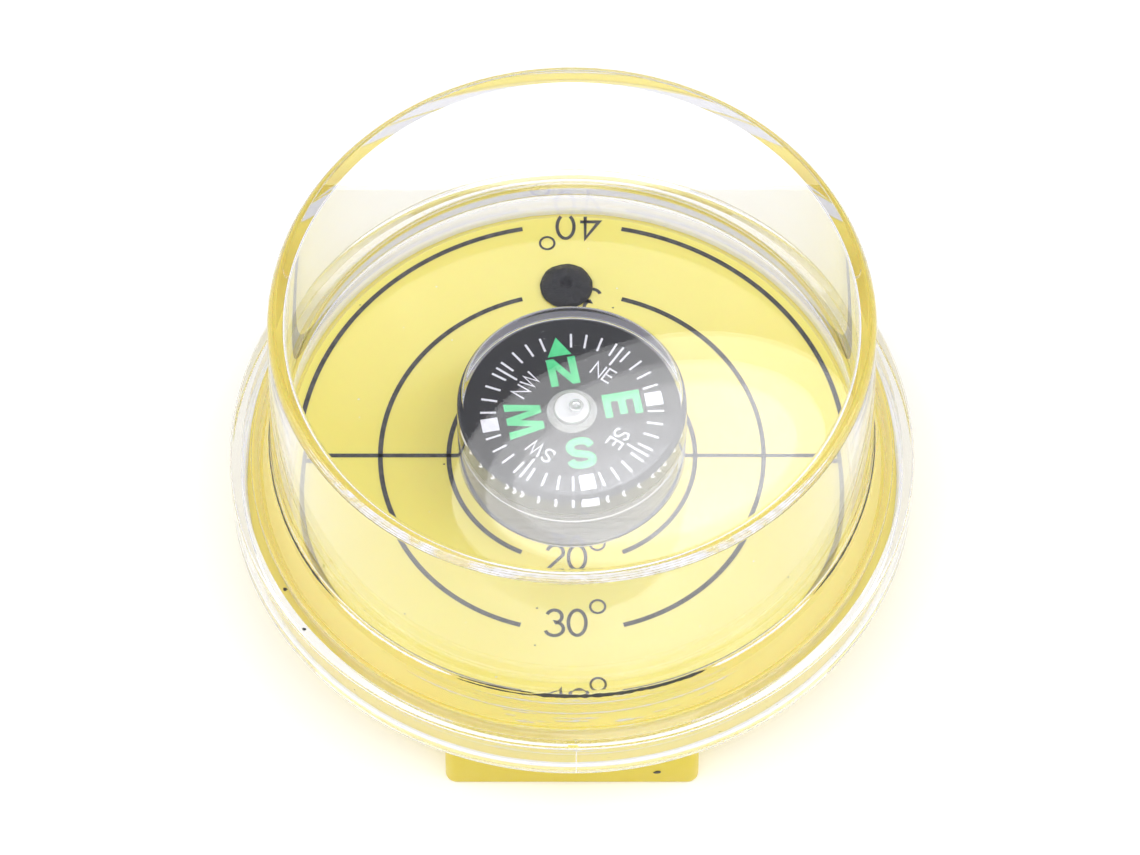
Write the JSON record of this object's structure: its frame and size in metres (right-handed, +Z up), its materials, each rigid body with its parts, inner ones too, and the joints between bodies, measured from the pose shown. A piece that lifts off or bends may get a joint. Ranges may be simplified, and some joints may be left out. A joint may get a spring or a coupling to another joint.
{
  "type": "handheld bearing compass",
  "caption": "Liquid-filled bearing compass capsule on a round flat dial with tilt rings, under a clear flanged cover, on a base with a foot bar.",
  "frame": {"origin": "middle of the foot bar's flat underside, on the dial's axis", "axes": "+Z up along the dial's axis, +X to the right and +Y to the back of the dial, where the plug is; the foot bar runs along Y"},
  "size_m": [0.06, 0.06, 0.0327],
  "materials": {
    "clear_plastic": "clear, polished, fine scratches",
    "clear_adhesive": "cloudy, slightly wavy",
    "yellow_base_plastic": "smooth moulded, slightly translucent",
    "yellow_dial_plastic": "smooth moulded, slightly translucent, grey print",
    "black_rubber": "scuffed, semi-gloss",
    "screw_steel": "plated, satin",
    "clear_capsule_plastic": "clear, polished",
    "damping_liquid": "clear liquid",
    "needle_steel": "ground",
    "black_card": "satin black, white and green print",
    "magnet_steel": "matt grey",
    "silver_cap": "pressed, satin",
    "jewel_stone": "polished"
  },
  "bodies": {
    "case": {"clear_cover": "clear_plastic", "cover_glue_ring": "clear_adhesive", "base_shell": "yellow_base_plastic", "dial_adhesive": "clear_adhesive", "dial_plate": "yellow_dial_plastic", "filler_plug": "black_rubber", "foot_block": "yellow_base_plastic", "foot_screws": "screw_steel", "capsule_adhesive": "clear_adhesive", "capsule_base": "clear_capsule_plastic", "capsule_seam_ring": "clear_capsule_plastic", "capsule_dome": "clear_capsule_plastic", "capsule_fill_plug": "clear_capsule_plastic", "damping_fluid": "damping_liquid", "pivot_needle": "needle_steel"},
    "card": {"compass_card": "black_card", "card_magnet": "magnet_steel", "card_float": "clear_capsule_plastic", "hub_cap": "silver_cap", "jewel": "jewel_stone"}
  },
  "joints": [
    {"name": "card_spin", "type": "hinge", "parent": "case", "child": "card", "pos_m": [0, 0, 0.0162], "axis": [0, 0, 1], "continuous": true}
  ]
}
